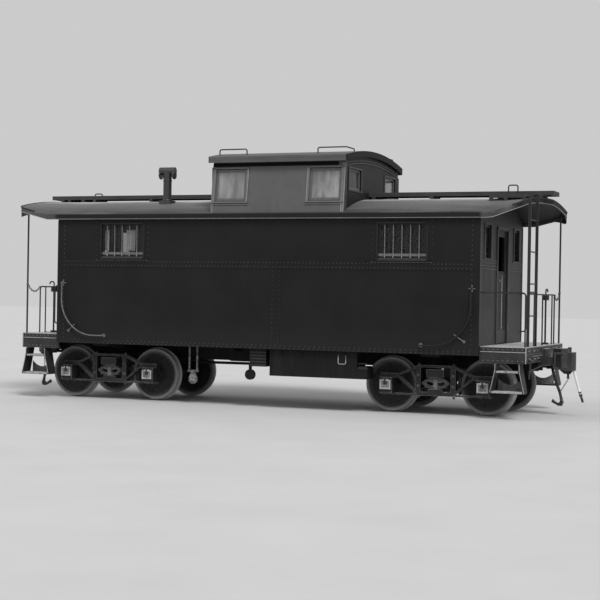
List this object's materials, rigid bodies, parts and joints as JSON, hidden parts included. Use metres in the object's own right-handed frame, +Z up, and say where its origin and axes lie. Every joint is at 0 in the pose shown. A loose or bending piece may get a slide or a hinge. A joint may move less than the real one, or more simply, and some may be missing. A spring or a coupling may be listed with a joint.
{
  "type": "caboose",
  "caption": "Four-axle railway caboose with a riveted steel cabin, an offset cupola, open end platforms with ladders and railings, and arch-bar trucks.",
  "frame": {"origin": "centre of the body's length and width, at the bottom of the wheel flanges, 25 mm under the rail's top", "axes": "+X along the track to the picture's right-hand end, +Y across the track away from the picture's near side, +Z up"},
  "size_m": [10.6173, 3.098, 4.5006],
  "materials": {
    "body_paint": "dark semi-gloss paint",
    "roof_paint": "weathered dark grey roof paint",
    "cupola_paint": "weathered grey paint",
    "walk_wood": "weathered planks",
    "sash_paint": "dark paint",
    "window_glass": "clear glass",
    "iron_paint": "dark paint on bar iron",
    "deck_steel": "worn dark paint and dust",
    "underframe_steel": "black paint and road dust",
    "truck_iron": "dusty black iron",
    "wheel_steel": "dusty wheel steel",
    "hose_rubber": "aged rubber hose",
    "canvas": "pale woven canvas",
    "glad_iron": "bare cast iron"
  },
  "bodies": {
    "root": {"air_tanks": "underframe_steel", "brake_hose_front": "hose_rubber", "brake_hose_rear": "hose_rubber", "brake_staffs": "iron_paint", "cabin_floor": "walk_wood", "canvas_hose": "canvas", "canvas_hose_nozzle": "glad_iron", "centre_sill": "underframe_steel", "couplers": "truck_iron", "cross_bearers": "underframe_steel", "cupola_eaves": "roof_paint", "cupola_ends": "cupola_paint", "cupola_roof": "roof_paint", "cupola_sides": "cupola_paint", "drain_trap": "underframe_steel", "end_railings": "iron_paint", "end_wall_front": "body_paint", "end_wall_rear": "body_paint", "glad_hand_front": "glad_iron", "glad_hand_rear": "glad_iron", "platform_steps": "deck_steel", "platforms": "deck_steel", "roof_front": "roof_paint", "roof_grab_irons": "iron_paint", "roof_ladders": "iron_paint", "roof_rear": "roof_paint", "roof_walks": "walk_wood", "side_handrails": "iron_paint", "side_sills": "underframe_steel", "side_wall_far": "body_paint", "side_wall_near": "body_paint", "smoke_jack": "iron_paint", "train_line": "underframe_steel", "uncoupling_levers": "iron_paint", "underfloor_boxes": "underframe_steel", "window_guards": "body_paint", "window_panes": "window_glass", "window_sashes": "sash_paint"},
    "truck_front": {"truck_frame_front": "truck_iron", "truck_bolster_front": "truck_iron", "journal_boxes_front": "truck_iron", "springs_front": "truck_iron", "brake_beams_front": "truck_iron"},
    "wheelset_1": {"wheelset_1": "wheel_steel"},
    "wheelset_2": {"wheelset_2": "wheel_steel"},
    "door_front": {"door_front": "body_paint"},
    "truck_rear": {"truck_frame_rear": "truck_iron", "truck_bolster_rear": "truck_iron", "journal_boxes_rear": "truck_iron", "springs_rear": "truck_iron", "brake_beams_rear": "truck_iron"},
    "wheelset_3": {"wheelset_3": "wheel_steel"},
    "wheelset_4": {"wheelset_4": "wheel_steel"},
    "door_rear": {"door_rear": "body_paint"}
  },
  "joints": [
    {"name": "truck_front_swivel", "type": "hinge", "parent": "root", "child": "truck_front", "pos_m": [3.098, 0, 0.7], "axis": [0, 0, 1], "range_deg": [-4, 4]},
    {"name": "wheelset_1_spin", "type": "hinge", "parent": "truck_front", "child": "wheelset_1", "pos_m": [3.936, 0, 0.482], "axis": [0, 1, 0], "continuous": true},
    {"name": "wheelset_2_spin", "type": "hinge", "parent": "truck_front", "child": "wheelset_2", "pos_m": [2.26, 0, 0.482], "axis": [0, 1, 0], "continuous": true},
    {"name": "door_front_hinge", "type": "hinge", "parent": "root", "child": "door_front", "pos_m": [3.876, -0.3517, 2.1], "axis": [0, 0, 1], "range_deg": [0, 90]},
    {"name": "truck_rear_swivel", "type": "hinge", "parent": "root", "child": "truck_rear", "pos_m": [-3.098, 0, 0.7], "axis": [0, 0, 1], "range_deg": [-4, 4]},
    {"name": "wheelset_3_spin", "type": "hinge", "parent": "truck_rear", "child": "wheelset_3", "pos_m": [-2.26, 0, 0.482], "axis": [0, 1, 0], "continuous": true},
    {"name": "wheelset_4_spin", "type": "hinge", "parent": "truck_rear", "child": "wheelset_4", "pos_m": [-3.936, 0, 0.482], "axis": [0, 1, 0], "continuous": true},
    {"name": "door_rear_hinge", "type": "hinge", "parent": "root", "child": "door_rear", "pos_m": [-3.876, 0.3517, 2.1], "axis": [0, 0, 1], "range_deg": [0, 90]}
  ]
}
